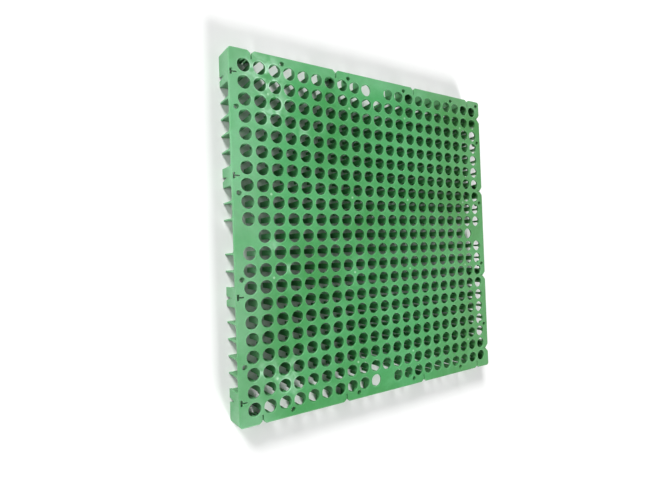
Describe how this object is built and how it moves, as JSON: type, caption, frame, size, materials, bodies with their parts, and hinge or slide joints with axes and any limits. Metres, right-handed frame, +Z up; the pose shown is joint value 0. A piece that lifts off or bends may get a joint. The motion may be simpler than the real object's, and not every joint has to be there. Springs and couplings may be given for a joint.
{
  "type": "drainage cell panel",
  "caption": "Square perforated plastic drainage cell on short legs, with closed edge blocks that carry interlock notches.",
  "frame": {"origin": "centre of the outline, on the plane the legs stand on", "axes": "+Z up through the perforated sheet, X and Y along the sides; the tee slots are on the -X side"},
  "size_m": [0.3, 0.3, 0.02],
  "materials": {
    "green_plastic": "satin moulded polypropylene"
  },
  "bodies": {
    "root": {"drainage_cell_panel": "green_plastic"}
  },
  "joints": []
}
